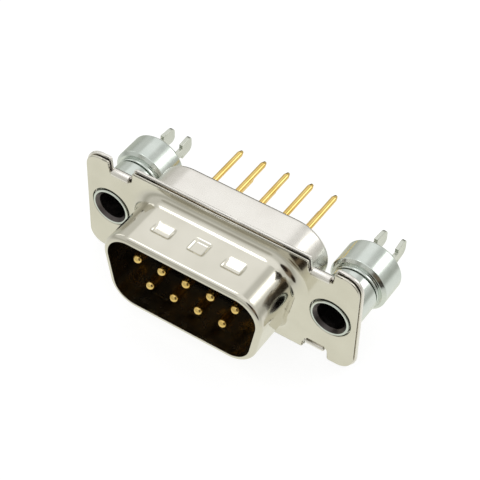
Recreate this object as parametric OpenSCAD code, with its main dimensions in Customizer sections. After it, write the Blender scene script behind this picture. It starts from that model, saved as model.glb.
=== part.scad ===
// Nine-way d-sub plug for a circuit board: a drawn sheet shell in two halves, a split insulator,
// turned contacts with straight tails, threaded inserts, spacers and spring board locks.
// Lengths are millimetres. The origin is the centre of the flange's front face: X runs to the
// right seen from the mating side, Y runs back to the board, Z is up with the wide row on top.

/* [Flange] */
// Overall width of the flange, which the screws and the nose follow
flange_w = 30.81; // [29.5:0.01:34]
// Overall height of the flange
flange_h = 12.3; // [12:0.05:15]
// Radius of the flange's corners
flange_corner_r = 1.8; // [0.5:0.1:2.5]
// Thickness of the shell sheet
sheet_t = 0.38; // [0.3:0.01:0.5]
// Distance of the screw axes from the flange's ends
screw_edge = 2.91; // [2.7:0.01:3.2]

/* [Nose] */
// Distance of the nose's inside wall from the screw axis, on the wide side
nose_clear = 4.035; // [3.9:0.005:4.6]
// Inside height of the nose
nose_h = 8.36; // [8:0.01:8.8]
// Radius of the inside corners of the D
d_corner_r = 2.6; // [2:0.1:3]
// Slope of the short sides of the D in degrees
d_slope = 10; // [6:1:14]
// Length of the nose in front of the flange
nose_len = 6.1; // [5.6:0.05:7]
// Radius of the hollow bend where the nose leaves the flange
nose_root_r = 1.2; // [0.5:0.05:1.3]
// Outside radius of the drawn rim at the mouth
rim_r = 0.5; // [0.4:0.05:0.7]
// Reach of the rim in over the inside wall
rim_in = 0.2; // [0.1:0.05:0.3]

/* [Indents] */
// Distance of the outer indents' middle from the end of the flat wall
indent_inset = 2.2; // [2:0.05:2.6]
// Width of the outer indents
indent_w = 2.4; // [1.6:0.1:2.8]
// Width of the middle indent
indent_mid_w = 1.8; // [1.2:0.1:2.4]
// Length of the indents along the nose
indent_len = 1.7; // [1.2:0.1:2.2]
// Depth that the indents are pressed in
indent_depth = 0.2; // [0.1:0.02:0.26]
// Distance of the indents' middle in front of the flange
indent_place = 2.85; // [2.6:0.05:3.6]

/* [Rear shell] */
// Ledge by which the rear cup is wider than the nose on each side
cup_ledge = 0.61; // [0.5:0.01:0.7]
// Distance of the cup's rear edge behind the flange's front face
cup_depth = 4.8; // [4.4:0.05:5.4]
// Radius of the hollow bend where the cup leaves the flange
cup_root_r = 0.35; // [0.2:0.05:0.5]
// Outside radius of the cup's turned rear edge
cup_edge_r = 0.45; // [0.4:0.05:0.7]
// Reach of the turned rear edge in over the insulator
cup_lip = 0.45; // [0.3:0.05:0.6]

/* [Clinch tabs] */
// Distance of a clinch tab's middle from the screw axis, towards the nose
tab_shift = 1.32; // [1:0.01:1.6]
// Width of a clinch tab
tab_w = 2; // [1.6:0.1:2.3]
// Width of the notch that a tab folds through, at its bottom
notch_w = 2.5; // [2.4:0.05:2.8]
// Widening of the notch on each side at the flange's edge
notch_flare = 0.12; // [0.04:0.02:0.2]
// Depth of the notch from the flange's edge to the folded tab
notch_depth = 1; // [0.8:0.05:1.2]
// Reach of a tab over the front face, inside its own upright part
tab_reach = 0.26; // [0.15:0.01:0.4]
// Distance that a clinched tab stands out of the front face
tab_proud = 0.2; // [0.12:0.02:0.3]

/* [Insulator] */
// Distance of the insulator's face in front of the flange's front face
face_out = 0.15; // [0.05:0.05:0.6]
// Distance of the joint between the halves behind the flange's front face
split_set = 2.4; // [2.2:0.05:2.8]
// Height by which the rear half stands out of the turned edge
rear_boss = 0.15; // [0:0.05:0.5]

/* [Contacts] */
// Spacing of the contacts along a row
pitch = 2.74; // [2.7:0.01:2.8]
// Distance between the two rows
row_gap = 2.84; // [2.6:0.02:3]
// Diameter of the mating pins
pin_d = 1.02; // [0.9:0.01:1.1]
// Distance of the pin tips in front of the flange
pin_reach = 5.5; // [5:0.05:5.8]
// Diameter of the contact's shank inside the insulator
shank_d = 1.4; // [1.36:0.02:1.5]
// Diameter of the collar that the insulator traps
contact_collar_d = 1.8; // [1.7:0.02:2]
// Length of that collar
contact_collar_len = 0.9; // [0.6:0.05:1.2]
// Diameter of the board tails
tail_d = 0.64; // [0.5:0.01:0.8]
// Distance of the tail ends behind the flange's front face
tail_reach = 12.52; // [11.5:0.05:14]
// Length of the taper at a tail's end
tail_taper = 0.45; // [0.2:0.05:0.7]

/* [Threaded inserts] */
// Diameter of the tapped bore inside the thread crests
thread_minor_d = 2.26; // [2.1:0.02:2.4]
// Diameter of the bore at the thread roots
thread_major_d = 2.84; // [2.8:0.02:3]
// Diameter of the barrel through the flange
barrel_d = 4.1; // [4:0.02:4.2]
// Width of the insert's lip, outside the chamfer of its mouth
lip_w = 0.32; // [0.2:0.02:0.4]
// Distance that the lip stands out of the flange's front face
lip_proud = 0.1; // [0.05:0.05:0.3]
// Clearance of the plain mouth round the thread
mouth_clear = 0.08; // [0.04:0.01:0.12]
// Depth of the plain mouth before the thread starts
mouth_depth = 2.4; // [1.6:0.1:3]
// Diameter of the neck behind the flange
neck_d = 5; // [4.8:0.05:5.2]
// Distance of the neck's end behind the flange's front face
neck_end = 4.25; // [3.8:0.05:4.6]
// Diameter of the spigot that carries the spacer
spigot_d = 3.6; // [3.4:0.05:3.9]
// Length of the spigot in the spacer
spigot_len = 1.8; // [1.2:0.1:2]

/* [Spacers] */
// Width of the groove between neck and spacer
groove_w = 0.15; // [0.05:0.05:0.4]
// Length of the spacer's hub, as wide as the neck
hub_len = 0.4; // [0.2:0.05:0.8]
// Diameter of the spacer's collar
collar_d = 6.1; // [5.8:0.05:6.6]
// Length of the spacer's collar
collar_len = 3.4; // [3:0.05:4]
// Chamfer on the collar's edges
collar_chamfer = 0.3; // [0.1:0.05:0.4]
// Diameter of the socket that holds the board lock
socket_d = 3.5; // [3.4:0.05:3.8]
// Width of the chamfer at the socket's mouth
socket_lead = 0.45; // [0.4:0.05:0.6]
// Thickness of the wall between spigot and board lock
web_t = 0.4; // [0.3:0.05:0.8]

/* [Board locks] */
// Thickness of the board lock's spring strip
lock_t = 0.4; // [0.3:0.01:0.45]
// Width of the strip in the socket and at the arrow heads
lock_w = 1.8; // [1.5:0.1:2]
// Width of a leg between the socket and its head
leg_w = 0.9; // [0.6:0.05:1.2]
// Distance of a leg's outer face from the screw axis
leg_out = 1.36; // [1.3:0.01:1.4]
// Distance from the spacer's seat to the catch of the head
catch_gap = 2; // [1.6:0.05:2.4]
// Length of the head from its catch to its tip
head_len = 1.85; // [1.5:0.05:2.2]
// Radius of the head's rounded corners
head_r = 0.6; // [0.3:0.05:0.7]
// Distance by which a tip leans in
toe_in = 0.12; // [0:0.02:0.2]

/* [Fits] */
// Clearance between pieces that only lie beside each other
side_gap = 0.05; // [0.02:0.01:0.08]
// Clearance round the contacts in the insulator
contact_gap = 0.03; // [0.02:0.01:0.06]
// Clearance between the front sheet's hole and the barrel
hole_gap = 0.15; // [0.1:0.01:0.2]
// Clearance between the spigot and the spacer
spigot_gap = 0.02; // [0.01:0.01:0.05]

/* [Hidden] */
$fn = 96;
arc_steps = 7;
// Distance that a cut runs past the face it opens.
eps = 0.01;
// Thin step that keeps joined walls from meeting edge on edge.
hair = 0.004;

// Heights are counted forward from the flange's front face, so those behind it are negative.
flange_back = -2 * sheet_t;
screw_span = flange_w - 2 * screw_edge;
nose_w = screw_span - 2 * nose_clear;
corner_rise = nose_h - 2 * d_corner_r;
top_corner = [nose_w / 2 - d_corner_r, corner_rise / 2];
low_corner = [top_corner[0] - corner_rise * tan(d_slope), -corner_rise / 2];
side_len = corner_rise / cos(d_slope);
nose_bend = nose_root_r + sheet_t;
cup_bend = cup_root_r + sheet_t;
cup_wall = cup_ledge + sheet_t;
block_grow = cup_ledge - side_gap;
block_back = -cup_depth + sheet_t + side_gap;
rear_face = -cup_depth - rear_boss;
// The insulator's shoulder lies where its edge meets the inside of the nose's root bend.
shoulder = nose_root_r - sqrt(pow(nose_bend, 2) - pow(nose_bend - block_grow, 2)) - side_gap;
indent_pitch = top_corner[0] - indent_inset;
tab_x = screw_span / 2 - tab_shift;
seat = neck_end + groove_w + hub_len + collar_len;
spacer_front = neck_end + groove_w;
spigot_end = spacer_front + spigot_len;
socket_floor = spigot_end + web_t;
catch_set = seat + catch_gap;
tip_set = catch_set + head_len;
notch_floor = flange_h / 2 - notch_depth;
fold_r = 1.2 * sheet_t;

// Contacts 1 to 5 stand in the wide row and 6 to 9 in the narrow row, counted from the right.
contact_places = concat(
    [for (i = [0:4]) [(2 - i) * pitch, row_gap / 2]],
    [for (i = [0:3]) [(1.5 - i) * pitch, -row_gap / 2]]
);

// Points of an arc round a centre, from one angle to another.
function arc(centre, r, from, to, steps = arc_steps) = [for (i = [0:steps])
    let (a = from + (to - from) * i / steps) centre + r * [cos(a), sin(a)]];

function mirrored(points) = [for (i = [len(points) - 1:-1:0]) [-points[i][0], points[i][1]]];

// Outline of the D, wide side up, grown outwards by a distance. Ease starts the arcs late.
function d_outline(grow, ease = 0) =
    let (half = concat(
        arc(top_corner, d_corner_r + grow, 90 - ease, ease - d_slope, 16),
        arc(low_corner, d_corner_r + grow, -d_slope - ease, ease - 90, 13)
    ))
    concat(half, mirrored(half));

function rounded_rectangle(w, h, r) =
    let (half = concat(arc([w / 2 - r, h / 2 - r], r, 90, 0, 8), arc([w / 2 - r, r - h / 2], r, 0, -90, 8)))
    concat(half, mirrored(half));

// Pieces are drawn looking at the mating face, with Z towards the mating socket, then stood up.
module stand() {
    rotate([90, 0, 0]) children();
}

module slab(points, low, high) {
    translate([0, 0, low]) linear_extrude(high - low) polygon(points);
}

module rod(d, low, high) {
    translate([0, 0, low]) cylinder(h = high - low, d = d);
}

// Carries a wall's cross-section round the D: x is the distance outside the nose's inner wall.
// The straight walls are a hair thinner than the corners and end inside them.
module round_the_d(section) {
    long_wall(top_corner[0], section);
    mirror([0, 1, 0]) long_wall(low_corner[0], section);
    for (side = [0, 1]) mirror([side, 0, 0]) {
        translate(top_corner) rotate([0, 0, -d_slope])
            rotate_extrude(angle = 90 + d_slope) translate([d_corner_r, 0]) polygon(section);
        translate(low_corner) rotate([0, 0, -90])
            rotate_extrude(angle = 90 - d_slope) translate([d_corner_r, 0]) polygon(section);
        translate(top_corner) rotate([0, 0, -90 - d_slope]) translate([-eps, d_corner_r, 0])
            rotate([90, 0, 90]) linear_extrude(side_len + 2 * eps) polygon(thinned(section));
    }
}

module long_wall(half_len, section) {
    translate([-half_len - eps, nose_h / 2, 0]) rotate([90, 0, 90])
        linear_extrude(2 * half_len + 2 * eps) polygon(thinned(section));
}

// Section with each point moved inwards by a hair. Its points run anticlockwise.
function thinned(section) = [for (i = [0:len(section) - 1])
    let (n = len(section), a = section[(i + n - 1) % n], b = section[i], c = section[(i + 1) % n])
    let (u = (b - a) / norm(b - a) + (c - b) / norm(c - b))
    b + hair * [-u[1], u[0]] / norm(u)];

// Cross-section of the drawn nose: flange, root bend, wall and the rim that turns in.
function nose_section() =
    let (root = [nose_bend, nose_root_r], rim = [sheet_t - rim_r, nose_len - rim_r])
    concat(
        [[nose_bend + sheet_t / 2, hair - sheet_t], [nose_bend + sheet_t / 2, -hair], [nose_bend, -hair]],
        [for (p = arc(root, nose_root_r, 270, 180)) if (p[1] > eps / 10) p],
        arc(rim, rim_r, 0, 90),
        [[-rim_in, nose_len], [-rim_in, nose_len - sheet_t]],
        arc(rim, rim_r - sheet_t, 90, 0, 3),
        [for (p = arc(root, nose_bend, 180, 270)) if (p[1] > hair - sheet_t) p],
        [[nose_bend, hair - sheet_t]]
    );

// Cross-section of the cup: flange, root bend, wall and the rear edge that turns in.
function cup_section() =
    let (root = [cup_wall + cup_root_r, flange_back - cup_root_r])
    let (edge = [cup_wall - cup_edge_r, cup_edge_r - cup_depth])
    concat(
        [[root[0] + sheet_t / 2, flange_back + hair], [root[0] + sheet_t / 2, -sheet_t - hair]],
        [[root[0], -sheet_t - hair]],
        [for (p = arc(root, cup_bend, 90, 180)) if (p[1] < -sheet_t - hair) p],
        arc(edge, cup_edge_r - sheet_t, 0, -90, 3),
        [[cup_ledge - cup_lip, sheet_t - cup_depth], [cup_ledge - cup_lip, -cup_depth]],
        arc(edge, cup_edge_r, -90, 0),
        [for (p = arc(root, cup_root_r, 180, 90)) if (p[1] < flange_back - eps / 10) p],
        [[root[0], flange_back + hair]]
    );

module at_screws() {
    for (side = [-1, 1]) translate([side * screw_span / 2, 0, 0]) children();
}

module at_tabs() {
    for (side = [0, 1], end = [0, 1])
        mirror([side, 0, 0]) mirror([0, end, 0]) translate([tab_x, 0, 0]) children();
}

// Flat sheet of the flange round the D's opening, with its two holes and four notches.
module flange_sheet(low, opening, hole_d) {
    high = low + sheet_t;
    floor_y = notch_floor - fold_r;
    difference() {
        slab(rounded_rectangle(flange_w, flange_h, flange_corner_r), low, high);
        slab(d_outline(opening - 2 * hair, 1), low - eps, high + eps);
        at_screws() rod(hole_d, low - eps, high + eps);
        at_tabs() slab([
            [-notch_w / 2, floor_y], [notch_w / 2, floor_y],
            [notch_w / 2 + notch_flare, flange_h / 2 + eps], [-notch_w / 2 - notch_flare, flange_h / 2 + eps]
        ], low - eps, high + eps);
    }
}

// Shallow pyramid that an indent takes out of the wall, or pushes through to its inside.
module indent_block(w, len, low, high, flank) {
    intersection() {
        translate([0, 0, -len / 2]) linear_extrude(len) polygon([
            [-w / 2 + flank, low], [w / 2 - flank, low], [w / 2, high], [-w / 2, high]
        ]);
        rotate([0, 90, 0]) translate([0, 0, -w / 2]) linear_extrude(w) polygon([
            [-len / 2 + flank, low], [len / 2 - flank, low], [len / 2, high], [-len / 2, high]
        ]);
    }
}

module at_indents() {
    for (end = [0, 1], i = [-1, 0, 1])
        mirror([0, end, 0]) translate([i * indent_pitch, nose_h / 2, indent_place])
            let ($w = i == 0 ? indent_mid_w : indent_w) children();
}

module front_shell() {
    color([0.82, 0.80, 0.74]) stand() difference() {
        union() {
            round_the_d(nose_section());
            flange_sheet(-sheet_t, nose_bend, barrel_d + 2 * hole_gap);
            at_indents() indent_block($w, indent_len, -indent_depth, sheet_t / 2, -indent_depth / 2);
        }
        at_indents() indent_block(
            $w - sheet_t, indent_len - sheet_t, sheet_t - indent_depth, sheet_t + eps, indent_depth / 2
        );
    }
}

// Tab of the rear sheet, bent up through the notch and pressed over the front face.
module clinch_tab() {
    inner = notch_floor - sheet_t;
    translate([-tab_w / 2, 0, 0]) rotate([90, 0, 90]) linear_extrude(tab_w) polygon(concat(
        [[inner - tab_reach, 0], [inner, 0]],
        arc([notch_floor - fold_r, flange_back + fold_r], fold_r - sheet_t, 0, -90, 4),
        [[notch_floor - fold_r - sheet_t, -sheet_t], [notch_floor - fold_r - sheet_t, flange_back]],
        arc([notch_floor - fold_r, flange_back + fold_r], fold_r, -90, 0),
        arc([notch_floor - fold_r, tab_proud - fold_r], fold_r, 0, 90),
        [[inner - tab_reach, tab_proud * 2 / 3]]
    ));
}

module rear_shell() {
    color([0.86, 0.85, 0.82]) stand() union() {
        round_the_d(cup_section());
        flange_sheet(flange_back, cup_wall + cup_root_r, barrel_d + 2 * side_gap);
        at_tabs() clinch_tab();
    }
}

module contact_bores(low, high, collar_low, collar_high) {
    for (place = contact_places) translate(place) {
        rod(shank_d + 2 * contact_gap, low - eps, high + eps);
        rod(contact_collar_d + 2 * contact_gap, collar_low, collar_high);
    }
}

module front_insulator() {
    color([0.12, 0.11, 0.10]) stand() difference() {
        union() {
            slab(d_outline(-side_gap), shoulder - eps, face_out);
            slab(d_outline(block_grow), -split_set, shoulder);
        }
        contact_bores(-split_set, face_out, -split_set - eps, contact_collar_len / 2 - split_set);
    }
}

module rear_insulator() {
    color([0.14, 0.13, 0.12]) stand() difference() {
        union() {
            slab(d_outline(block_grow), block_back, -split_set);
            slab(d_outline(cup_ledge - cup_lip - side_gap), rear_face, block_back + eps);
        }
        contact_bores(rear_face, -split_set, -contact_collar_len / 2 - split_set, eps - split_set);
    }
}

// Turned contact: round-nosed pin, shank with its trapped collar, and a straight tapered tail.
module contact(i) {
    collar_low = -contact_collar_len / 2 - split_set + contact_gap;
    collar_high = contact_collar_len / 2 - split_set - contact_gap;
    color([0.85, 0.69, 0.30]) stand() translate(contact_places[i - 1]) rotate_extrude() polygon(concat(
        [[0, -tail_reach], [tail_d / 4, -tail_reach], [tail_d / 2, tail_taper - tail_reach]],
        [[tail_d / 2, rear_face], [shank_d / 2, rear_face], [shank_d / 2, collar_low]],
        [[contact_collar_d / 2, collar_low], [contact_collar_d / 2, collar_high]],
        [[shank_d / 2, collar_high], [shank_d / 2, face_out], [pin_d / 2, face_out]],
        arc([0, pin_reach - pin_d / 2], pin_d / 2, 0, 90, 8)
    ));
}

// Insert clinched into the flange: plain mouth, tapped bore, barrel, neck and rear spigot.
module threaded_insert(side) {
    chamfer_r = barrel_d / 2 - lip_w;
    mouth_r = thread_major_d / 2 + mouth_clear;
    color([0.74, 0.77, 0.74]) stand() translate([side * screw_span / 2, 0, 0]) difference() {
        rotate_extrude() polygon(concat(
            [[0, lip_proud]],
            arc([barrel_d / 2 - lip_proud, 0], lip_proud, 90, 0, 4),
            [[barrel_d / 2, flange_back], [neck_d / 2, flange_back], [neck_d / 2, -neck_end]],
            [[spigot_d / 2 + groove_w, -neck_end], [spigot_d / 2 + groove_w, -spacer_front]],
            [[spigot_d / 2, -spacer_front], [spigot_d / 2, -spigot_end], [0, -spigot_end]]
        ));
        rod(thread_minor_d, -spigot_end - eps, lip_proud + eps);
        rotate_extrude() polygon([
            [0, lip_proud + eps], [chamfer_r + eps, lip_proud + eps],
            [mouth_r, lip_proud + mouth_r - chamfer_r], [mouth_r, lip_proud - mouth_depth],
            [thread_minor_d / 2, lip_proud + thread_minor_d / 2 - mouth_r - mouth_depth],
            [0, lip_proud + thread_minor_d / 2 - mouth_r - mouth_depth]
        ]);
    }
}

// Spacer that seats on the board and holds the board lock in its socket.
module spacer(side) {
    hub_end = spacer_front + hub_len;
    color([0.76, 0.79, 0.76]) stand() translate([side * screw_span / 2, 0, 0]) difference() {
        rotate_extrude() polygon([
            [0, -spacer_front], [neck_d / 2, -spacer_front], [neck_d / 2, -hub_end],
            [collar_d / 2 - collar_chamfer, -hub_end], [collar_d / 2, -hub_end - collar_chamfer],
            [collar_d / 2, collar_chamfer - seat], [collar_d / 2 - collar_chamfer, -seat], [0, -seat]
        ]);
        rod(spigot_d + 2 * spigot_gap, -spigot_end, eps - spacer_front);
        rod(thread_major_d, -socket_floor - eps, eps - spigot_end);
        rod(socket_d, -seat - eps, -socket_floor);
        translate([0, 0, -seat - eps])
            cylinder(h = socket_lead + eps, d1 = socket_d + 2 * (socket_lead + eps), d2 = socket_d);
    }
}

// Arrow-headed spring strip bent to a U in the socket, with a leg on each side of the screw axis.
module board_lock(side) {
    leg_in = leg_out - lock_t;
    bend = [
        [0, -socket_floor], [leg_out - lock_t, -socket_floor], [leg_out, -socket_floor - lock_t],
        [leg_out, -catch_set], [leg_out - toe_in, -tip_set], [leg_in - toe_in, -tip_set],
        [leg_in, -catch_set], [leg_in, -socket_floor - lock_t], [0, -socket_floor - lock_t]
    ];
    outline = concat(
        [[0, eps - socket_floor], [lock_w / 2, eps - socket_floor], [lock_w / 2, socket_lead - seat]],
        [[leg_w / 2, -seat], [leg_w / 2, -catch_set], [lock_w / 2, -catch_set]],
        arc([lock_w / 2 - head_r, head_r - tip_set], head_r, 0, -90)
    );
    color([0.79, 0.80, 0.76]) stand() translate([side * screw_span / 2, 0, 0]) intersection() {
        rotate([90, 0, 0]) translate([0, 0, -lock_w / 2 - eps]) linear_extrude(lock_w + 2 * eps)
            polygon(concat(bend, mirrored(bend)));
        rotate([90, 0, 90]) translate([0, 0, -leg_out - eps]) linear_extrude(2 * (leg_out + eps))
            polygon(concat(outline, mirrored(outline)));
    }
}

front_shell();
rear_shell();
front_insulator();
rear_insulator();
contact(1);  // contact_1
contact(2);  // contact_2
contact(3);  // contact_3
contact(4);  // contact_4
contact(5);  // contact_5
contact(6);  // contact_6
contact(7);  // contact_7
contact(8);  // contact_8
contact(9);  // contact_9
threaded_insert(-1);  // threaded_insert_left
threaded_insert(1);  // threaded_insert_right
spacer(-1);  // spacer_left
spacer(1);  // spacer_right
board_lock(-1);  // board_lock_left
board_lock(1);  // board_lock_right
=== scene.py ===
import math

import bmesh
import bpy
from mathutils import Matrix, Vector


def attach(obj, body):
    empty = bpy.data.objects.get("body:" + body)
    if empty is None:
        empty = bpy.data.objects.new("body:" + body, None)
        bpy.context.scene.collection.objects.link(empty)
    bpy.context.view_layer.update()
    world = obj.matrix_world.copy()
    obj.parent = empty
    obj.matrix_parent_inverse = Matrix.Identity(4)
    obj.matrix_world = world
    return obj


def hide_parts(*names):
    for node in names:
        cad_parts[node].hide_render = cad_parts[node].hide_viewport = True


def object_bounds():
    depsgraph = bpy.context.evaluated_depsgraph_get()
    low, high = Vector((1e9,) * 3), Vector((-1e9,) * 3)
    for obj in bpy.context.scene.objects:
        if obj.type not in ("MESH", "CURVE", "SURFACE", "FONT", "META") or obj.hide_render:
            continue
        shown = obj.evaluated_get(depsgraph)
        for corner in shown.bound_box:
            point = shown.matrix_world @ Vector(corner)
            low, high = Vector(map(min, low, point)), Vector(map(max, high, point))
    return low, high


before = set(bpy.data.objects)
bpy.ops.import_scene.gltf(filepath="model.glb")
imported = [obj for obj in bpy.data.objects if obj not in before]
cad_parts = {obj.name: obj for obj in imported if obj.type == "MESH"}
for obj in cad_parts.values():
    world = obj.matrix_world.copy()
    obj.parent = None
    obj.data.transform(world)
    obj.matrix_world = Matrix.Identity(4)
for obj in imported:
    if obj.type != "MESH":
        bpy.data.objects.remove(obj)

MM = 0.001
packed_box = [list(corner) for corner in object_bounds()]

# Sizes of the part in millimetres, the same as the solids have, apart from the bore of the inserts:
# there BORE_R is the root of the thread, and the solids have a plain bore near its crests. Y runs
# from the nose's mouth, at -NOSE_LEN, past the flange's front face, at 0, to the tails.
SHEET = 0.38
FLANGE_W, FLANGE_H, FLANGE_CORNER = 30.81, 12.3, 1.8
SCREW_X = 12.495
NOSE_W, NOSE_H, NOSE_LEN = 16.92, 8.36, 6.1
D_CORNER, D_SLOPE = 2.6, 10
ROOT_R, RIM_R, RIM_IN = 1.2, 0.5, 0.2
LEDGE, CUP_DEPTH, CUP_ROOT_R, CUP_EDGE_R, CUP_LIP = 0.61, 4.8, 0.35, 0.45, 0.45
TAB_X, TAB_W, TAB_REACH, TAB_PROUD = 11.175, 2.0, 0.26, 0.2
NOTCH_W, NOTCH_FLARE, NOTCH_FLOOR = 2.5, 0.12, 5.15
FOLD_R = 1.2 * SHEET
FRONT_HOLE_R, REAR_HOLE_R = 2.2, 2.1
PITCH, ROW_Z = 2.74, 1.42
PIN_R, SHANK_R, COLLAR_R, TAIL_R, TAIL_END_R = 0.51, 0.7, 0.9, 0.32, 0.17
PIN_TIP, FACE, COLLAR_FRONT, COLLAR_REAR, SHANK_END, TAIL_END = -5.5, -0.15, 1.98, 2.82, 4.95, 12.52
LIP_FRONT, MOUTH_END, BORE_START = -0.1, 2.4, 2.46
MOUTH_R, BORE_R, BARREL_R, NECK_R, SPIGOT_R = 1.5, 1.42, 2.05, 2.5, 1.8
NECK_END, SPACER_FRONT, SEAT = 4.25, 4.4, 8.2
SPIGOT_END, SOCKET_FLOOR = 6.2, 6.6
HUB_R, SPACER_R, SOCKET_R, SPACER_BORE_R = 2.5, 3.05, 1.75, 1.82

# Sizes of what only the visible piece has: the front rim that steps back behind a groove with a dark
# core of painted shade, the hair's breadth between the two sheets, their rounded rims, and the thread.
STEP_IN, JOINT_GAP, GROOVE = 0.16, 0.11, 0.5
HAIR, SHEET_RIM = 0.003, 0.11
THREAD_PITCH, THREAD_TURNS, THREAD_START, RIDGE = 0.635, 5.2, 2.6, 0.27

# Radius of the hole that a turned piece keeps on its axis until its ends are closed.
NEEDLE_R = 0.0005


# ---- outlines -------------------------------------------------------------------------------

def arc(cx, cy, r, start, end, steps):
    """Points of an arc, angles in degrees."""
    turns = [math.radians(start + (end - start) * i / steps) for i in range(steps + 1)]
    return [(cx + r * math.cos(a), cy + r * math.sin(a)) for a in turns]


def eased(points, radius, steps=4, hold=0.5, closed=True):
    """Rounds the corners of an outline. A point may carry its own radius. Each round ends in a
    short straight, so that the flats beside it stay flat in the light."""
    out = []
    n = len(points)
    for i in range(n):
        if not closed and i in (0, n - 1):
            out.append(tuple(points[i][:2]))
            continue
        p = Vector(points[i][:2])
        r = points[i][2] if len(points[i]) > 2 else radius
        a, b = Vector(points[i - 1][:2]) - p, Vector(points[(i + 1) % n][:2]) - p
        bend = math.pi - a.angle(b) if min(a.length, b.length) > 1e-6 else 0
        if r <= 0 or bend < math.radians(4):
            sharp = bend > math.radians(20)
            near = [0.02 / v.length if sharp and v.length > 0.1 else 0 for v in (a, b)]
            out += [tuple(p + a * near[0])] if near[0] else []
            out.append(tuple(p))
            out += [tuple(p + b * near[1])] if near[1] else []
            continue
        back = min(r * math.tan(bend / 2), a.length * 0.4, b.length * 0.4)
        a.normalize()
        b.normalize()
        out.append(tuple(p + a * back * (1 + hold * 0.4)))
        for k in range(steps + 1):
            t = k / steps
            q = (p + a * back) * (1 - t) ** 2 + p * 2 * t * (1 - t) + (p + b * back) * t ** 2
            out.append(tuple(q))
        out.append(tuple(p + b * back * (1 + hold * 0.4)))
    return out


def stepped(a, b, gap):
    """Points between two ends, about a gap apart, without the ends."""
    n = max(1, round(math.dist(a, b) / gap))
    return [tuple(a[k] + (b[k] - a[k]) * i / n for k in range(2)) for i in range(1, n)]


def d_centres():
    """Where the D's right corners are centred: their height, and the upper and lower distance."""
    rise = NOSE_H / 2 - D_CORNER
    upper = NOSE_W / 2 - D_CORNER
    return rise, upper, upper - 2 * rise * math.tan(math.radians(D_SLOPE))


def d_path(gap):
    """The nose's inside D, wide side up and run anticlockwise, its long walls evenly spaced."""
    rise, upper, lower = d_centres()
    half = arc(upper, rise, D_CORNER, 90, -D_SLOPE, 26)
    low = arc(lower, -rise, D_CORNER, -D_SLOPE, -90, 22)
    half += stepped(half[-1], low[0], gap * 3) + low
    left = [(-x, y) for x, y in reversed(half)]
    return (half + stepped(half[-1], left[0], gap) + left + stepped(left[-1], half[0], gap))[::-1]


def d_ring(grow):
    """The D grown outwards, as a plain outline."""
    rise, upper, lower = d_centres()
    r = D_CORNER + grow
    half = arc(upper, rise, r, 90, -D_SLOPE, 20) + arc(lower, -rise, r, -D_SLOPE, -90, 20)
    return half + [(-x, y) for x, y in reversed(half)]


def flange_outline(less=0.0):
    """Flange with its rounded corners and four notches, its rim drawn in where asked."""
    w, h, r = FLANGE_W / 2 - less, FLANGE_H / 2 - less, FLANGE_CORNER - less
    floor = NOTCH_FLOOR - FOLD_R
    mouth_r, floor_r = 0.26, 0.2
    quarter = [
        (TAB_X - NOTCH_W / 2 - NOTCH_FLARE, h, mouth_r), (TAB_X - NOTCH_W / 2, floor, floor_r),
        (TAB_X + NOTCH_W / 2, floor, floor_r), (TAB_X + NOTCH_W / 2 + NOTCH_FLARE, h, mouth_r),
    ] + [(x, y, 0) for x, y in arc(w - r, h - r, r, 90, 0, 14)]
    right = quarter + [(x, -y, e) for x, y, e in reversed(quarter)]
    return eased(right + [(-x, y, e) for x, y, e in reversed(right)], 0, 4, 0)


# ---- mesh building --------------------------------------------------------------------------

def set_down(name, data):
    """New object in the scene, at the origin."""
    item = bpy.data.objects.new(name, data)
    bpy.context.scene.collection.objects.link(item)
    return item


def piece_from(name, verts, faces, finish):
    """New piece from points in millimetres, merged, closed and facing outwards."""
    mesh = bpy.data.meshes.new(name)
    mesh.from_pydata([Vector(v) * MM for v in verts], [], faces)
    piece = set_down(name, mesh)
    cleaned(mesh)
    mesh.materials.append(finish)
    return piece


def cleaned(mesh):
    """Merges doubles, turns faces outwards, and leaves flats across the part's axis flat."""
    bm = bmesh.new()
    bm.from_mesh(mesh)
    bmesh.ops.remove_doubles(bm, verts=bm.verts, dist=1e-7)
    bmesh.ops.dissolve_degenerate(bm, edges=bm.edges, dist=1e-8)
    bmesh.ops.recalc_face_normals(bm, faces=bm.faces)
    for f in bm.faces:
        f.smooth = abs(f.normal.y) < 0.9999
    bm.to_mesh(mesh)
    bm.free()


def turned(outline, steps=72):
    """Closed outline of (radius, y) spun round the y axis. Points and faces."""
    verts, faces = [], []
    n = len(outline)
    for i in range(steps):
        a = 2 * math.pi * i / steps
        verts += [(r * math.cos(a), y, r * math.sin(a)) for r, y in outline]
    for i in range(steps):
        j = (i + 1) % steps
        for k in range(n):
            m = (k + 1) % n
            faces.append((i * n + k, i * n + m, j * n + m, j * n + k))
    return verts, faces


def inset(loop, by):
    """Loop moved to its left by a distance, square to its sides."""
    out = []
    n = len(loop)
    for i in range(n):
        p, q, s = (Vector(loop[k % n]) for k in (i - 1, i, i + 1))
        u = (q - p).normalized() if (q - p).length > 1e-9 else (s - q).normalized()
        v = (s - q).normalized() if (s - q).length > 1e-9 else u
        m = Vector((-u.y - v.y, u.x + v.x))
        m = m / max(m.length, 1e-9)
        out.append(tuple(q + m * by / max(0.4, m.dot(Vector((-u.y, u.x))))))
    return out


def turns_left(loop):
    """Whether a loop runs anticlockwise."""
    return sum(a[0] * b[1] - b[0] * a[1] for a, b in zip(loop, loop[1:] + loop[:1])) > 0


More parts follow.
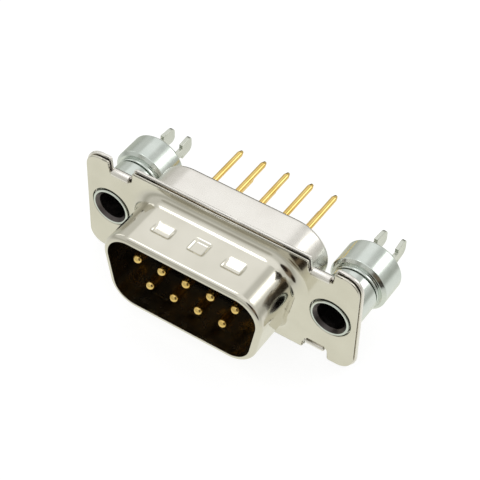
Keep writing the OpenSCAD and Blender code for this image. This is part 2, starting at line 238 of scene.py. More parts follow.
def pressed_sheet(name, outline, holes, low, high, edge, lay, finish):
    """Flat sheet with holes and softly rounded rims. Lay turns (u, v, height) to a place."""
    bm = bmesh.new()
    turns = [math.radians(a) for a in (0, 22, 45, 68, 90)]
    rings = [(edge * (1 - math.sin(a)), low + edge * (1 - math.cos(a))) for a in turns]
    rings += [(edge * (1 - math.cos(a)), high - edge * (1 - math.sin(a))) for a in turns]
    caps = ([], [])
    for number, loop in enumerate([outline] + holes):
        loop = loop if turns_left(loop) == (number == 0) else loop[::-1]
        rows = [
            [bm.verts.new(Vector(lay(u, v, level)) * MM) for u, v in inset(loop, by)]
            for by, level in rings
        ]
        for a, b in zip(rows, rows[1:]):
            for k in range(len(a)):
                m = (k + 1) % len(a)
                bm.faces.new((a[k], a[m], b[m], b[k]))
        for cap, row in zip(caps, (rows[0], rows[-1])):
            cap += [bm.edges.get((row[k], row[(k + 1) % len(row)])) for k in range(len(row))]
    for cap in caps:
        bmesh.ops.triangle_fill(bm, use_beauty=True, edges=cap)
    mesh = bpy.data.meshes.new(name)
    bm.to_mesh(mesh)
    bm.free()
    cleaned(mesh)
    mesh.materials.append(finish)
    return set_down(name, mesh)


def joined(name, pieces):
    """One piece out of several, keeping each face's finish and shading."""
    bm = bmesh.new()
    finishes = []
    for piece in pieces:
        start = len(bm.faces)
        bm.from_mesh(piece.data)
        bm.faces.ensure_lookup_table()
        finishes += [m for m in piece.data.materials if m not in finishes]
        for f in bm.faces[start:]:
            f.material_index = finishes.index(piece.data.materials[f.material_index])
        bpy.data.objects.remove(piece)
    mesh = bpy.data.meshes.new(name)
    bm.to_mesh(mesh)
    bm.free()
    for material in finishes:
        mesh.materials.append(material)
    return set_down(name, mesh)


# ---- geometry nodes -------------------------------------------------------------------------

def wired(tree, kind, inputs=None, **settings):
    """New node with its settings, its inputs linked or set."""
    n = tree.nodes.new(kind)
    for key, value in settings.items():
        setattr(n, key, value)
    for key, value in (inputs or {}).items():
        if isinstance(value, bpy.types.NodeSocket):
            tree.links.new(value, n.inputs[key])
        else:
            n.inputs[key].default_value = value
    return n


def new_rule(name, sockets):
    """Geometry node tree with named inputs. Gives the tree and its input node."""
    tree = bpy.data.node_groups.new(name, "GeometryNodeTree")
    tree.interface.new_socket(name="Geometry", in_out="OUTPUT", socket_type="NodeSocketGeometry")
    tree.interface.new_socket(name="Geometry", in_out="INPUT", socket_type="NodeSocketGeometry")
    for label, kind in sockets:
        tree.interface.new_socket(name=label, in_out="INPUT", socket_type="NodeSocket" + kind)
    return tree, tree.nodes.new("NodeGroupInput")


def end_rule(tree, geometry, finish):
    """Last steps of every rule: real faces, then the finish."""
    real = wired(tree, "GeometryNodeRealizeInstances", {"Geometry": geometry})
    done = wired(tree, "GeometryNodeSetMaterial", {"Geometry": real.outputs[0], "Material": finish})
    tree.links.new(done.outputs[0], tree.nodes.new("NodeGroupOutput").inputs[0])


def made(name, source, tree, values):
    """Runs a rule on a source object and gives its result as a plain mesh piece."""
    rule = source.modifiers.new(tree.name, "NODES")
    rule.node_group = tree
    for item in tree.interface.items_tree:
        if item.item_type == "SOCKET" and item.in_out == "INPUT" and item.name in values:
            rule[item.identifier] = values[item.name]
    graph = bpy.context.evaluated_depsgraph_get()
    mesh = bpy.data.meshes.new_from_object(source.evaluated_get(graph), depsgraph=graph)
    source.modifiers.clear()
    bpy.data.objects.remove(source)
    mesh.name = name
    cleaned(mesh)
    return set_down(name, mesh)


def wire(name, points):
    """Closed curve through points in millimetres, flat on its own plane."""
    data = bpy.data.curves.new(name, "CURVE")
    data.dimensions = "3D"
    line = data.splines.new("POLY")
    line.points.add(len(points) - 1)
    for p, (x, y) in zip(line.points, points):
        p.co = (x * MM, y * MM, 0, 1)
    line.use_cyclic_u = True
    return set_down(name, data)


def section_wire(name, points):
    """Section for a rule, which lays its second axis downwards."""
    return wire(name, [(x, -y) for x, y in points])


def spots(name, places):
    """Loose points, in millimetres, for a rule to put copies on."""
    mesh = bpy.data.meshes.new(name)
    mesh.from_pydata([Vector(p) * MM for p in places], [], [])
    return set_down(name, mesh)


def split_place(tree):
    """Node that gives a point's place as x, y and z."""
    place = tree.nodes.new("GeometryNodeInputPosition")
    return wired(tree, "ShaderNodeSeparateXYZ", {0: place.outputs[0]})


def drawn_wall_rule():
    """Carries a section round a closed path, presses six shallow indents in, and stands it up."""
    sizes = (
        "Wall Height", "Indent Depth", "Indent Length", "Indent Place", "Outer Distance", "Outer Width",
        "Middle Width", "Outer Flank", "Middle Flank", "Front Flank", "Lower Share",
    )
    tree, given = new_rule("drawn wall", [("Section", "Object"), ("Finish", "Material")] + [
        (size, "Float") for size in sizes
    ])
    g = given.outputs

    def maths(op, a, b=0.0):
        return wired(tree, "ShaderNodeMath", {0: a, 1: b}, operation=op).outputs[0]

    def plateau(distance, width, flank):
        """1 over the middle of a width, easing to 0 at its edge."""
        half = maths("MULTIPLY", width, 0.5)
        inner = maths("SUBTRACT", half, flank)
        return wired(tree, "ShaderNodeMapRange", {
            "Value": distance, "From Min": half, "From Max": inner, "To Min": 0.0, "To Max": 1.0,
        }, interpolation_type="SMOOTHSTEP").outputs[0]

    normal = wired(tree, "GeometryNodeSetCurveNormal", {"Curve": g["Geometry"]}, mode="Z_UP")
    info = wired(tree, "GeometryNodeObjectInfo", {"Object": g["Section"]})
    swept = wired(tree, "GeometryNodeCurveToMesh", {
        "Curve": normal.outputs[0], "Profile Curve": info.outputs["Geometry"],
    })
    place = split_place(tree)
    across = maths("ABSOLUTE", place.outputs[0])
    height = maths("ABSOLUTE", place.outputs[1])
    along = place.outputs[2]
    forward = maths("SUBTRACT", along, g["Indent Place"])
    backward = maths("MULTIPLY", forward, -1.0)

    def lengthwise(rear_flank):
        """Share of the depth along the wall, with a long or a short flank at the rear."""
        return maths("MULTIPLY", plateau(backward, g["Indent Length"], rear_flank),
                     plateau(forward, g["Indent Length"], g["Front Flank"]))

    off_outer = maths("ABSOLUTE", maths("SUBTRACT", across, g["Outer Distance"]))
    outer = maths("MULTIPLY", plateau(off_outer, g["Outer Width"], g["Middle Flank"]),
                  lengthwise(g["Outer Flank"]))
    middle = maths("MULTIPLY", plateau(across, g["Middle Width"], g["Middle Flank"]),
                   lengthwise(g["Middle Flank"]))
    flat = maths("GREATER_THAN", height, maths("SUBTRACT", g["Wall Height"], 0.05 * MM))
    shape = maths("MULTIPLY", maths("MAXIMUM", outer, middle), flat)
    amount = maths("MULTIPLY", shape, g["Indent Depth"])
    lower = maths("MULTIPLY", maths("MULTIPLY", amount, g["Lower Share"]),
                  maths("LESS_THAN", place.outputs[1], 0.0))
    upper = maths("MULTIPLY", amount, maths("GREATER_THAN", place.outputs[1], 0.0))
    inward = maths("SUBTRACT", lower, upper)
    push = wired(tree, "ShaderNodeCombineXYZ", {1: inward})
    pressed = wired(tree, "GeometryNodeSetPosition", {
        "Geometry": swept.outputs[0], "Offset": push.outputs[0],
    })
    stood = wired(tree, "GeometryNodeTransform", {
        "Geometry": pressed.outputs[0], "Rotation": (math.pi / 2, 0, 0),
    })
    end_rule(tree, stood.outputs[0], g["Finish"])
    return tree


def copies_rule():
    """Puts a copy of a piece on each point, turned over below the middle where that is asked."""
    tree, given = new_rule("copies on places", [
        ("Piece", "Object"), ("Finish", "Material"), ("Turn Over", "Bool"),
    ])
    g = given.outputs
    info = wired(tree, "GeometryNodeObjectInfo", {"Object": g["Piece"]})
    height = split_place(tree).outputs[2]
    below = wired(tree, "ShaderNodeMath", {0: height, 1: -0.0005 * MM}, operation="LESS_THAN")
    turn = wired(tree, "ShaderNodeMath", {0: below.outputs[0], 1: g["Turn Over"]}, operation="MULTIPLY")
    angle = wired(tree, "ShaderNodeMath", {0: turn.outputs[0], 1: math.pi}, operation="MULTIPLY")
    spin = wired(tree, "ShaderNodeCombineXYZ", {1: angle.outputs[0]})
    placed = wired(tree, "GeometryNodeInstanceOnPoints", {
        "Points": g["Geometry"], "Instance": info.outputs["Geometry"], "Rotation": spin.outputs[0],
    })
    end_rule(tree, placed.outputs[0], g["Finish"])
    return tree


def thread_rule():
    """Ridge of a screw thread: a three-sided profile carried up a spiral and laid along the y axis."""
    tree, given = new_rule("thread turns", [
        ("Finish", "Material"), ("Turns", "Float"), ("Length", "Float"), ("Root Radius", "Float"),
        ("Ridge Height", "Float"), ("Start", "Float"),
    ])
    g = given.outputs
    spiral = wired(tree, "GeometryNodeCurveSpiral", {
        "Resolution": 40, "Rotations": g["Turns"], "Start Radius": g["Root Radius"],
        "End Radius": g["Root Radius"], "Height": g["Length"],
    })
    ridge = wired(tree, "GeometryNodeCurvePrimitiveCircle", {
        "Resolution": 3, "Radius": g["Ridge Height"],
    })
    normal = wired(tree, "GeometryNodeSetCurveNormal", {"Curve": spiral.outputs[0]}, mode="Z_UP")
    swept = wired(tree, "GeometryNodeCurveToMesh", {
        "Curve": normal.outputs[0], "Profile Curve": ridge.outputs[0], "Fill Caps": True,
    })
    shift = wired(tree, "ShaderNodeCombineXYZ", {1: g["Start"]})
    laid = wired(tree, "GeometryNodeTransform", {
        "Geometry": swept.outputs[0], "Translation": shift.outputs[0], "Rotation": (-math.pi / 2, 0, 0),
    })
    end_rule(tree, laid.outputs[0], g["Finish"])
    return tree


# ---- finishes -------------------------------------------------------------------------------

def new_finish(name, rough, metal):
    """Material with its tree, its shader and the object coordinates."""
    material = bpy.data.materials.new(name)
    material.use_nodes = True
    tree = material.node_tree
    shader = tree.nodes["Principled BSDF"]
    shader.inputs["Metallic"].default_value = metal
    shader.inputs["Roughness"].default_value = rough
    coords = tree.nodes.new("ShaderNodeTexCoord").outputs["Object"]
    return material, tree, shader, coords


def cloud(tree, coords, scale, detail, stretch=(1, 1, 1)):
    """Noise with features of 1 / scale metres, stretched along the axes."""
    spread = wired(tree, "ShaderNodeMapping", {"Vector": coords, "Scale": stretch})
    return wired(tree, "ShaderNodeTexNoise", {
        "Vector": spread.outputs[0], "Scale": scale, "Detail": detail,
    }).outputs[0]


def ranged(tree, value, low, high, to_low, to_high):
    """Value carried from one range to another, and held at its ends."""
    return wired(tree, "ShaderNodeMapRange", {
        "Value": value, "From Min": low, "From Max": high, "To Min": to_low, "To Max": to_high,
    }).outputs[0]


def blended(tree, share, a, b):
    """Colour a, passing to colour b as the share goes from 0 to 1."""
    mix = wired(tree, "ShaderNodeMix", {"Factor": share, "A": a, "B": b}, data_type="RGBA")
    return mix.outputs["Result"]


def bumped(tree, height, distance, normal=None):
    """Surface normal after a relief, on top of another where one is given."""
    bump = wired(tree, "ShaderNodeBump", {"Height": height, "Distance": distance, "Strength": 1.0})
    if normal is not None:
        tree.links.new(normal, bump.inputs["Normal"])
    return bump.outputs[0]


def plated_sheet(name, pale, deep, rough, ripple, grain):
    """Plated drawn sheet: cloudy tone, uneven gloss, slow ripples and a fine grain."""
    material, tree, shader, coords = new_finish(name, rough, 1)
    tone = ranged(tree, cloud(tree, coords, 260, 3), 0.35, 0.65, 0, 1)
    tree.links.new(blended(tree, tone, (*pale, 1), (*deep, 1)), shader.inputs["Base Color"])
    gloss = ranged(tree, cloud(tree, coords, 900, 4), 0.3, 0.7, rough * 0.75, rough * 1.35)
    tree.links.new(gloss, shader.inputs["Roughness"])
    slow = bumped(tree, cloud(tree, coords, 420, 1), ripple * MM)
    fine = bumped(tree, cloud(tree, coords, 9000, 2), grain * MM, slow)
    tree.links.new(fine, shader.inputs["Normal"])
    return material


def turned_metal(name, pale, deep, rough, rings):
    """Plated turned metal with fine rings round its axis."""
    material, tree, shader, coords = new_finish(name, rough, 1)
    tone = ranged(tree, cloud(tree, coords, 500, 3), 0.35, 0.65, 0, 1)
    tree.links.new(blended(tree, tone, (*pale, 1), (*deep, 1)), shader.inputs["Base Color"])
    gloss = ranged(tree, cloud(tree, coords, 1500, 3), 0.3, 0.7, rough * 0.7, rough * 1.4)
    tree.links.new(gloss, shader.inputs["Roughness"])
    lathe = bumped(tree, cloud(tree, coords, 7000, 2, (0.02, 1, 0.02)), rings * MM)
    fine = bumped(tree, cloud(tree, coords, 6000, 2), 0.0006 * MM, lathe)
    tree.links.new(fine, shader.inputs["Normal"])
    return material


def moulded(name, pale, deep, rough):
    """Glass-filled black moulding: faint mottling and a short grain."""
    material, tree, shader, coords = new_finish(name, rough, 0)
    tone = ranged(tree, cloud(tree, coords, 1800, 4), 0.35, 0.7, 0, 1)
    tree.links.new(blended(tree, tone, (*pale, 1), (*deep, 1)), shader.inputs["Base Color"])
    gloss = ranged(tree, cloud(tree, coords, 2500, 3), 0.3, 0.7, rough * 0.8, rough * 1.25)
    tree.links.new(gloss, shader.inputs["Roughness"])
    tree.links.new(bumped(tree, cloud(tree, coords, 11000, 3), 0.003 * MM), shader.inputs["Normal"])
    shader.inputs["Specular IOR Level"].default_value = 0.3
    return material


# Each finish: its pale and its deep tone, its roughness, and its relief in millimetres.
nose_plate = plated_sheet("nose_plate", (0.74, 0.715, 0.63), (0.69, 0.665, 0.58), 0.12, 0.003, 0.0008)
# The nose's inside takes the same plating coloured darker, as painted shade, and rougher.
nose_inside_painted_shade = plated_sheet("nose_inside_painted_shade", (0.40, 0.35, 0.26), (0.30, 0.26, 0.19), 0.22, 0.004, 0.002)
cup_plate = plated_sheet("cup_plate", (0.88, 0.855, 0.81), (0.83, 0.80, 0.755), 0.26, 0.003, 0.0015)
zinc = turned_metal("zinc", (0.70, 0.745, 0.705), (0.64, 0.69, 0.65), 0.17, 0.0012)
# Dark metal, as painted shade: it stands for the shade deep in the inserts' bores and in the joint
# between the sheets.
bore = turned_metal("bore", (0.16, 0.14, 0.14), (0.10, 0.09, 0.09), 0.34, 0.002)
gold = turned_metal("gold", (0.90, 0.66, 0.25), (0.80, 0.55, 0.17), 0.14, 0.0006)
tin = plated_sheet("tin", (0.66, 0.68, 0.61), (0.58, 0.60, 0.53), 0.22, 0.003, 0.0012)
black = moulded("black_moulding", (0.030, 0.024, 0.018), (0.020, 0.016, 0.012), 0.42)


# ---- camera, light and floor ----------------------------------------------------------------

LAMP_DISTANCE = 260
WHITE = (1, 1, 1, 1)
ROOM, ROOM_LOW, ROOM_TOP = (0.70, 0.70, 0.67, 1), (0.865, 0.868, 0.785, 1), (1, 1, 0.99, 1)
HORIZON, MATT_LIGHT = (0.50, 0.50, 0.46, 1), (0.9, 0.9, 0.9, 1)


def place_camera():
    """Long-lens camera above the right end of the nose."""
    right = Vector((0.83275, 0.55324, 0.02114))
    up = Vector((-0.41623, 0.60042, 0.68282))
    back = Vector((0.36507, -0.57742, 0.73028))
    place = Vector((56.976, -86.170, 113.369)) * MM
    data = bpy.data.cameras.new("camera")
    data.sensor_width = 36
    data.lens = 121.62
    data.clip_start = 0.01
    camera = set_down("camera", data)
    turn = Matrix((right, up, back)).transposed().to_4x4()
    camera.matrix_world = Matrix.Translation(place) @ turn
    bpy.context.scene.camera = camera


def soft_lamp(name, towards, size, power):
    """Oblong lamp of a size in millimetres that looks at the part from a direction."""
    data = bpy.data.lights.new(name, "AREA")
    data.shape = "RECTANGLE"
    data.size, data.size_y = size[0] * MM, size[1] * MM
    data.energy = power
    lamp = set_down(name, data)
    direction = Vector(towards).normalized()
    lamp.location = direction * LAMP_DISTANCE * MM
    lamp.rotation_euler = direction.to_track_quat("Z", "Y").to_euler()


def studio_world(cards):
    """Pale room, paler above and warmer below, with a dim horizon. Soft round cards stand in it for
    what shines in the metal, each a direction, an inner and an outer angle in degrees, and a colour.
    Matt surfaces see an even light instead, and the background is white."""
    world = bpy.data.worlds.new("studio")
    world.use_nodes = True
    bpy.context.scene.world = world
    tree = world.node_tree
    background = tree.nodes["Background"]
    direction = tree.nodes.new("ShaderNodeTexCoord").outputs["Generated"]
    height = wired(tree, "ShaderNodeSeparateXYZ", {0: direction}).outputs[2]
    colour = blended(tree, ranged(tree, height, -0.7, -0.2, 0, 1), ROOM_LOW, ROOM)
    colour = blended(tree, ranged(tree, height, 0.72, 0.9, 0, 1), colour, ROOM_TOP)
    level = wired(tree, "ShaderNodeMath", {0: height}, operation="ABSOLUTE").outputs[0]
    colour = blended(tree, ranged(tree, level, 0.04, 0.3, 1, 0), colour, HORIZON)
    for towards, inner, outer, shade in cards:
        aim = Vector(towards).normalized()
        dot = wired(tree, "ShaderNodeVectorMath", {0: direction, 1: aim}, operation="DOT_PRODUCT")
        share = wired(tree, "ShaderNodeMapRange", {
            "Value": dot.outputs["Value"], "From Min": math.cos(math.radians(outer)),
            "From Max": math.cos(math.radians(inner)), "To Min": 0.0, "To Max": 1.0,
        }, interpolation_type="SMOOTHSTEP")
        colour = blended(tree, share.outputs[0], colour, (*shade, 1))
    path = tree.nodes.new("ShaderNodeLightPath")
    lit = blended(tree, path.outputs["Is Diffuse Ray"], colour, MATT_LIGHT)
    seen = blended(tree, path.outputs["Is Camera Ray"], lit, WHITE)
    tree.links.new(seen, background.inputs["Color"])


def lay_floor():
    """White floor under the part that keeps its shadow: a matt surface with a share of glow."""
    glow_share, glow_strength = 0.72, 1.15
    low = packed_box[0][2]
    mesh = bpy.data.meshes.new("floor")
    mesh.from_pydata([(-1, -1, low), (1, -1, low), (1, 1, low), (-1, 1, low)], [], [(0, 1, 2, 3)])
    floor = set_down("floor", mesh)
    material = bpy.data.materials.new("floor_white")
    material.use_nodes = True
    tree = material.node_tree
    shader = tree.nodes["Principled BSDF"]
    shader.inputs["Base Color"].default_value = (0.9, 0.9, 0.9, 1)
    shader.inputs["Roughness"].default_value = 0.9
    shader.inputs["Specular IOR Level"].default_value = 0.0
    glow = wired(tree, "ShaderNodeEmission", {"Color": WHITE, "Strength": glow_strength})
    mix = wired(tree, "ShaderNodeMixShader", {0: glow_share, 1: shader.outputs[0], 2: glow.outputs[0]})
    tree.links.new(mix.outputs[0], tree.nodes["Material Output"].inputs["Surface"])
    mesh.materials.append(material)
    floor.visible_glossy = False


place_camera()
lay_floor()
studio_world([
    # Pale and grey cards above and beside the part, which the flange and the walls show.
    ((-0.32, 0.58, 0.75), 10, 18, (1, 1, 0.99)),
    ((0.17, 0.58, 0.80), 6, 12, (0.68, 0.68, 0.66)),
    ((0.52, 0.58, 0.63), 9, 16, (1.15, 1.15, 1.12)),
    ((0.60, 0.58, -0.55), 14, 26, (0.92, 0.92, 0.88)),
    ((-0.75, 0.58, -0.33), 14, 26, (0.55, 0.56, 0.50)),
    # Dim and dark cards, which the bends and the nose's right corner show.
    ((-0.365, 0.925, -0.08), 13, 20, (0.04, 0.036, 0.03)),
    ((-0.365, -0.75, 0.55), 5, 13, (0.45, 0.44, 0.40)),
    ((0.72, -0.58, 0.38), 17, 28, (0.18, 0.14, 0.10)),
    ((0.557, -0.577, 0.597), 12, 17, (0.02, 0.014, 0.01)),
    ((0.816, -0.577, -0.03), 9, 15, (0.03, 0.022, 0.015)),
])
soft_lamp("top_box", (-0.365, 0.2, 0.91), (110, 56), 0.028)
soft_lamp("rear_box", (0.55, 0.62, 0.5), (60, 140), 0.03)
soft_lamp("left_box", (-0.85, 0.3, 0.35), (60, 160), 0.02)


# ---- shells ---------------------------------------------------------------------------------

def nose_section():
    """Cross-section of the drawn nose: (distance outside the inner wall, height over the flange)."""
    bend = ROOT_R + SHEET
    rim = (SHEET - RIM_R, NOSE_LEN - RIM_R)
    outside = arc(bend, ROOT_R, ROOT_R, 270, 180, 16)
    top = arc(*rim, RIM_R, 0, 90, 9)
    lip = eased([
        top[-1], (-RIM_IN, NOSE_LEN, 0.1),
        (-RIM_IN, NOSE_LEN - SHEET, 0.06), (rim[0], NOSE_LEN - SHEET),
    ], 0, 3, closed=False)
    inside = arc(*rim, RIM_R - SHEET, 90, 0, 5)
    under = arc(bend, ROOT_R, bend, 180, 270, 16)
    wall_out = stepped(outside[-1], top[0], 0.11)
    wall_in = stepped(inside[-1], under[0], 0.13)
    flat = [(bend + 0.14, JOINT_GAP - SHEET), (bend + 0.14, 0), (bend + 0.08, 0), (bend + 0.03, 0)]
    return flat + outside + wall_out + top[:-1] + lip[1:-1] + inside + wall_in + under


def cup_section():
    """Cross-section of the rear cup, with its turned edge."""
    wall = LEDGE + SHEET
    root = (wall + CUP_ROOT_R, -2 * SHEET - CUP_ROOT_R)
    edge = (wall - CUP_EDGE_R, CUP_EDGE_R - CUP_DEPTH)
    over = arc(*root, CUP_ROOT_R + SHEET, 90, 180, 12)
    inside = arc(*edge, CUP_EDGE_R - SHEET, 0, -90, 4)
    rear = arc(*edge, CUP_EDGE_R, -90, 0, 9)
    lip = eased([
        inside[-1], (LEDGE - CUP_LIP, SHEET - CUP_DEPTH, 0.08),
        (LEDGE - CUP_LIP, -CUP_DEPTH, 0.12), rear[0],
    ], 0, 3, closed=False)
    hollow = arc(*root, CUP_ROOT_R, 180, 90, 10)
    return (
        [(root[0] + 0.2, -2 * SHEET), (root[0] + 0.2, -SHEET), (root[0] + 0.05, -SHEET)] + over
        + stepped(over[-1], inside[0], 0.6) + inside[:-1] + lip[1:-1] + rear
        + stepped(rear[-1], hollow[0], 0.4) + hollow + [(root[0] + 0.05, -2 * SHEET)]
    )


def laid_flat(u, v, level):
    """Outline of x and z, thickness towards the rear."""
    return (u, level, v)


def laid_across(u, v, level):
    """Outline of height and depth, thickness along x."""
    return (level, -v, u)


def screw_holes(r):
    """The two round holes for the inserts, of 72 points each."""
    return [arc(side * SCREW_X, 0, r, 0, 355, 71) for side in (-1, 1)]


def shells():
    """Front shell: nose, front sheet and a core in the joint, coloured dark as painted shade. Rear
    shell: cup, rear sheet and clinch tabs. The nose is rougher inside and coloured darker there as
    painted shade, as is its flat in the joint."""
    wall_rule = drawn_wall_rule()
    values = {
        "Wall Height": NOSE_H / 2 * MM, "Indent Depth": 0.19 * MM, "Indent Length": 1.8 * MM,
        "Indent Place": 3.0 * MM, "Outer Distance": (NOSE_W / 2 - D_CORNER - 1.95) * MM,
        "Outer Width": 2.3 * MM, "Middle Width": 1.9 * MM, "Outer Flank": 1.4 * MM,
        "Middle Flank": 0.32 * MM, "Front Flank": 0.25 * MM, "Lower Share": 0.4,
    }
    section = section_wire("nose_section", nose_section())
    nose = made("nose_wall", wire("nose_path", d_path(0.11)), wall_rule,
                {**values, "Section": section, "Finish": nose_plate})
    bpy.data.objects.remove(section)
    # Faces on the nose's inside, and its flat in the joint behind the front sheet, take the darker
    # colour: painted shade.
    nose.data.materials.append(nose_inside_painted_shade)
    for polygon in nose.data.polygons:
        out = Vector((polygon.center.x, 0, polygon.center.z)).normalized()
        along = polygon.center.y / MM
        inner = polygon.normal.dot(out) < -0.3 and along > 0.1 - NOSE_LEN
        polygon.material_index = int(inner or along > SHEET - JOINT_GAP)
    front = pressed_sheet(
        "front_sheet", flange_outline(STEP_IN),
        [d_ring(ROOT_R + SHEET - 0.1)] + screw_holes(FRONT_HOLE_R),
        HAIR, SHEET - JOINT_GAP, SHEET_RIM, laid_flat, nose_plate)
    # A core sheet of the dark metal fills the joint behind the front sheet's stepped-in rim: painted
    # shade in the groove.
    core_edge = 0.01
    core = pressed_sheet(
        "joint_core", flange_outline(STEP_IN + GROOVE),
        [d_ring(ROOT_R)] + screw_holes(FRONT_HOLE_R + 0.05),
        SHEET - JOINT_GAP - core_edge, SHEET, core_edge, laid_flat, bore)
    nose_shell = joined("nose_shell", [nose, front, core])
    section = section_wire("cup_section", cup_section())
    cup = made("cup_wall", wire("cup_path", d_path(1.2)), wall_rule,
               {**values, "Indent Depth": 0.0, "Section": section, "Finish": cup_plate})
    bpy.data.objects.remove(section)
    rear = pressed_sheet(
        "rear_sheet", flange_outline(),
        [d_ring(LEDGE + SHEET + CUP_ROOT_R + 0.1)] + screw_holes(REAR_HOLE_R),
        SHEET + HAIR, 2 * SHEET - HAIR, SHEET_RIM, laid_flat, cup_plate)
    tab = pressed_sheet(
        "tab_blank", tab_outline(), [], -TAB_W / 2, TAB_W / 2, 0.12, laid_across, cup_plate)
    # A place's sign of z, and not its size, says which way up its tab goes.
    places = spots("tab_places", [(s * TAB_X, 0, t * 0.001) for s in (-1, 1) for t in (-1, 1)])
    tabs = made("clinch_tabs", places, copies_rule(),
                {"Piece": tab, "Finish": cup_plate, "Turn Over": True})
    bpy.data.objects.remove(tab)
    cup_shell = joined("cup_shell", [cup, rear, tabs])
    for piece, node, slot in (
        (nose_shell, "front_shell", "nose_plating"), (cup_shell, "rear_shell", "cup_plating"),
    ):
        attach(piece, "root")
        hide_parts(node)


def tab_outline():
    """Side view of a clinch tab: (height, distance in front of the flange's face)."""
    inner = NOTCH_FLOOR - SHEET
    back = -2 * SHEET
    mid = NOTCH_FLOOR - FOLD_R
    points = [(inner - TAB_REACH, 0, 0.03), (inner, 0, 0)]
    points += [(*p, 0) for p in arc(mid, back + FOLD_R, FOLD_R - SHEET, 0, -90, 5)]
    points += [(mid - SHEET, -SHEET, 0), (mid - SHEET, back, 0)]
    points += [(*p, 0) for p in arc(mid, back + FOLD_R, FOLD_R, -90, 0, 9)]
    points += [(*p, 0) for p in arc(mid, TAB_PROUD - FOLD_R, FOLD_R, 0, 90, 9)]
    points += [(inner - TAB_REACH, TAB_PROUD * 2 / 3, 0.06)]
    return eased(points, 0, 3, 0)


shells()


# ---- contacts -------------------------------------------------------------------------------

def contacts():
    """Nine turned contacts: round-nosed pin, shank and collar, and a straight tail."""
    taper = 0.45
    nose = [(r, y, 0) for r, y in arc(0, PIN_TIP + PIN_R, PIN_R, 270, 360, 10)][1:]
    nose += [(PIN_R, PIN_TIP + PIN_R + 0.04, 0)]
    body = [
        (PIN_R, FACE, 0), (SHANK_R, FACE, 0.02),
        (SHANK_R, COLLAR_FRONT, 0), (COLLAR_R, COLLAR_FRONT, 0.03),
        (COLLAR_R, COLLAR_REAR, 0.03), (SHANK_R, COLLAR_REAR, 0),
        (SHANK_R, SHANK_END, 0.03), (TAIL_R, SHANK_END, 0),
        (TAIL_R, TAIL_END - taper, 0.2), (TAIL_END_R, TAIL_END, 0.06),
    ]
    outline = eased([(NEEDLE_R, PIN_TIP)] + nose + body + [(NEEDLE_R, TAIL_END)], 0, 3, 0, closed=False)
    verts, faces = turned(outline, 40)
    blank = piece_from("contact_blank", verts, faces, gold)
    close_ends(blank.data)
    places = [((2 - i) * PITCH, 0, ROW_Z) for i in range(5)]
    places += [((1.5 - i) * PITCH, 0, -ROW_Z) for i in range(4)]
    piece = made("contacts", spots("contact_places", places), copies_rule(),
                 {"Piece": blank, "Finish": gold, "Turn Over": False})
    bpy.data.objects.remove(blank)
    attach(piece, "root")
    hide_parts(*[f"contact_{i}" for i in range(1, 10)])


def close_ends(mesh):
    """Draws the needle-thin holes at the ends of a turned piece together on the axis."""
    bm = bmesh.new()
    bm.from_mesh(mesh)
    ends = [v for v in bm.verts if math.hypot(v.co.x, v.co.z) < 1.2 * NEEDLE_R * MM]
    for v in ends:
        v.co.x = v.co.z = 0
    bmesh.ops.remove_doubles(bm, verts=bm.verts, dist=1e-7)
    bmesh.ops.dissolve_degenerate(bm, edges=bm.edges, dist=1e-8)
    inner = [f for f in bm.faces if all(math.hypot(v.co.x, v.co.z) < 1e-7 for v in f.verts)]
    bmesh.ops.delete(bm, geom=inner, context="FACES")
    bmesh.ops.recalc_face_normals(bm, faces=bm.faces)
    for f in bm.faces:
        f.smooth = True
    bm.to_mesh(mesh)
    bm.free()


contacts()


# ---- inserts and spacers --------------------------------------------------------------------

def both_screws():
    """Places of the two screws on the flange."""
    return [(side * SCREW_X, 0, 0) for side in (-1, 1)]


def inserts():
    """Two clinched inserts with a chamfered lip, a plain mouth and a cut thread. The mouth, bore and
    thread are coloured dark as painted shade.
    """
    lip_r, chamfer, groove_r, rear_r = 1.84, 0.34, 1.95, 1.2
    outline = eased([
        (lip_r, LIP_FRONT, 0.04), (BARREL_R, LIP_FRONT, 0.1), (BARREL_R, 2 * SHEET, 0),
        (NECK_R, 2 * SHEET, 0.05), (NECK_R, NECK_END, 0.12), (groove_r, NECK_END, 0.03),
        (groove_r, SPACER_FRONT, 0), (SPIGOT_R, SPACER_FRONT, 0), (SPIGOT_R, SPIGOT_END, 0.1),
        (rear_r, SPIGOT_END, 0.05), (BORE_R, SPIGOT_END - 0.2, 0.05), (BORE_R, BORE_START, 0),
        (MOUTH_R, MOUTH_END, 0), (MOUTH_R, LIP_FRONT + chamfer, 0.08),
    ], 0, 4)
    verts, faces = turned(outline, 88)
    body = piece_from("insert_blank", verts, faces, zinc)
    # The thread's ridge takes the dark metal, as painted shade inside the bore.
    thread = made("thread_blank", spots("thread_place", [(0, 0, 0)]), thread_rule(), {
        "Finish": bore, "Turns": THREAD_TURNS, "Length": THREAD_TURNS * THREAD_PITCH * MM,
        "Root Radius": BORE_R * MM, "Ridge Height": RIDGE * MM, "Start": THREAD_START * MM,
    })
    blank = joined("insert_pair_blank", [body, thread])
    pair = made("threaded_inserts", spots("insert_places", both_screws()), copies_rule(),
                {"Piece": blank, "Finish": zinc, "Turn Over": False})
    bpy.data.objects.remove(blank)
    # Faces inside the mouth and the bore take the dark metal: painted shade.
    pair.data.materials.append(bore)
    for polygon in pair.data.polygons:
        across, along, height = polygon.center / MM
        inside = math.hypot(abs(across) - SCREW_X, height) < SPIGOT_R
        polygon.material_index = int(inside and LIP_FRONT + 0.03 < along < SPIGOT_END - 0.1)
    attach(pair, "root")
    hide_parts("threaded_insert_left", "threaded_insert_right")


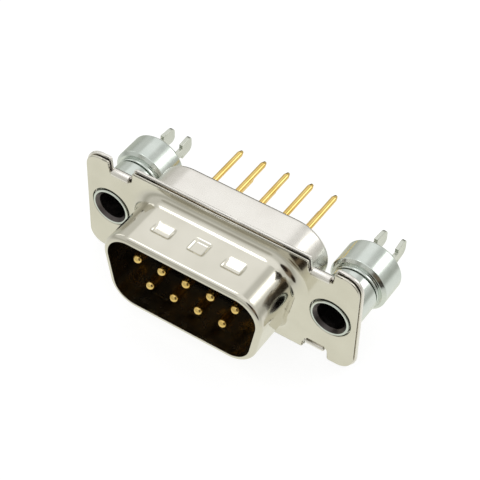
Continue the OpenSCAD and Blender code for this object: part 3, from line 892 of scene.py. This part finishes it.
def spacers():
    """Two turned spacers, each a narrow hub and a wide collar with a socket."""
    hub_end, chamfer, sink = SPACER_FRONT + 0.4, 0.3, 0.45
    outline = eased([
        (SPACER_BORE_R, SPACER_FRONT, 0.03), (HUB_R, SPACER_FRONT, 0.1), (HUB_R, hub_end, 0.04),
        (SPACER_R - chamfer, hub_end, 0.08), (SPACER_R, hub_end + chamfer, 0.12),
        (SPACER_R, SEAT - chamfer, 0.12), (SPACER_R - chamfer, SEAT, 0.08),
        (SOCKET_R + sink, SEAT, 0.05), (SOCKET_R, SEAT - sink, 0.05), (SOCKET_R, SOCKET_FLOOR, 0.03),
        (BORE_R, SOCKET_FLOOR, 0.04), (BORE_R, SPIGOT_END, 0.04), (SPACER_BORE_R, SPIGOT_END, 0),
    ], 0, 4)
    verts, faces = turned(outline, 96)
    blank = piece_from("spacer_blank", verts, faces, zinc)
    pair = made("spacers", spots("spacer_places", both_screws()), copies_rule(),
                {"Piece": blank, "Finish": zinc, "Turn Over": False})
    bpy.data.objects.remove(blank)
    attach(pair, "root")
    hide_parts("spacer_left", "spacer_right")


inserts()
spacers()


# ---- board locks and insulator --------------------------------------------------------------

def board_locks():
    """The two stamped strips, with their cut edges broken. Only the edges are shaded smooth."""
    edge_area = 2e-8
    for side in ("left", "right"):
        node = "board_lock_" + side
        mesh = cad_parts[node].data.copy()
        mesh.name = node + "_strip"
        bm = bmesh.new()
        bm.from_mesh(mesh)
        bmesh.ops.remove_doubles(bm, verts=bm.verts, dist=1e-7)
        bmesh.ops.dissolve_limit(bm, angle_limit=math.radians(1), verts=bm.verts, edges=bm.edges)
        bm.to_mesh(mesh)
        bm.free()
        mesh.materials.clear()
        mesh.materials.append(tin)
        strip = set_down(node + "_strip", mesh)
        broken = strip.modifiers.new("broken edges", "BEVEL")
        broken.width = 0.06 * MM
        broken.segments = 3
        broken.limit_method = "ANGLE"
        broken.angle_limit = math.radians(35)
        graph = bpy.context.evaluated_depsgraph_get()
        broken_mesh = bpy.data.meshes.new_from_object(strip.evaluated_get(graph), depsgraph=graph)
        strip.modifiers.clear()
        strip.data = broken_mesh
        for polygon in broken_mesh.polygons:
            polygon.use_smooth = polygon.area < edge_area
        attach(strip, "root")
        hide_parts(node)


board_locks()

# The insulator's two halves keep their own shape and get the moulding's finish.
for node in ("front_insulator", "rear_insulator"):
    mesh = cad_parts[node].data
    mesh.materials.clear()
    mesh.materials.append(black)

bpy.context.scene.view_settings.view_transform = "Standard"
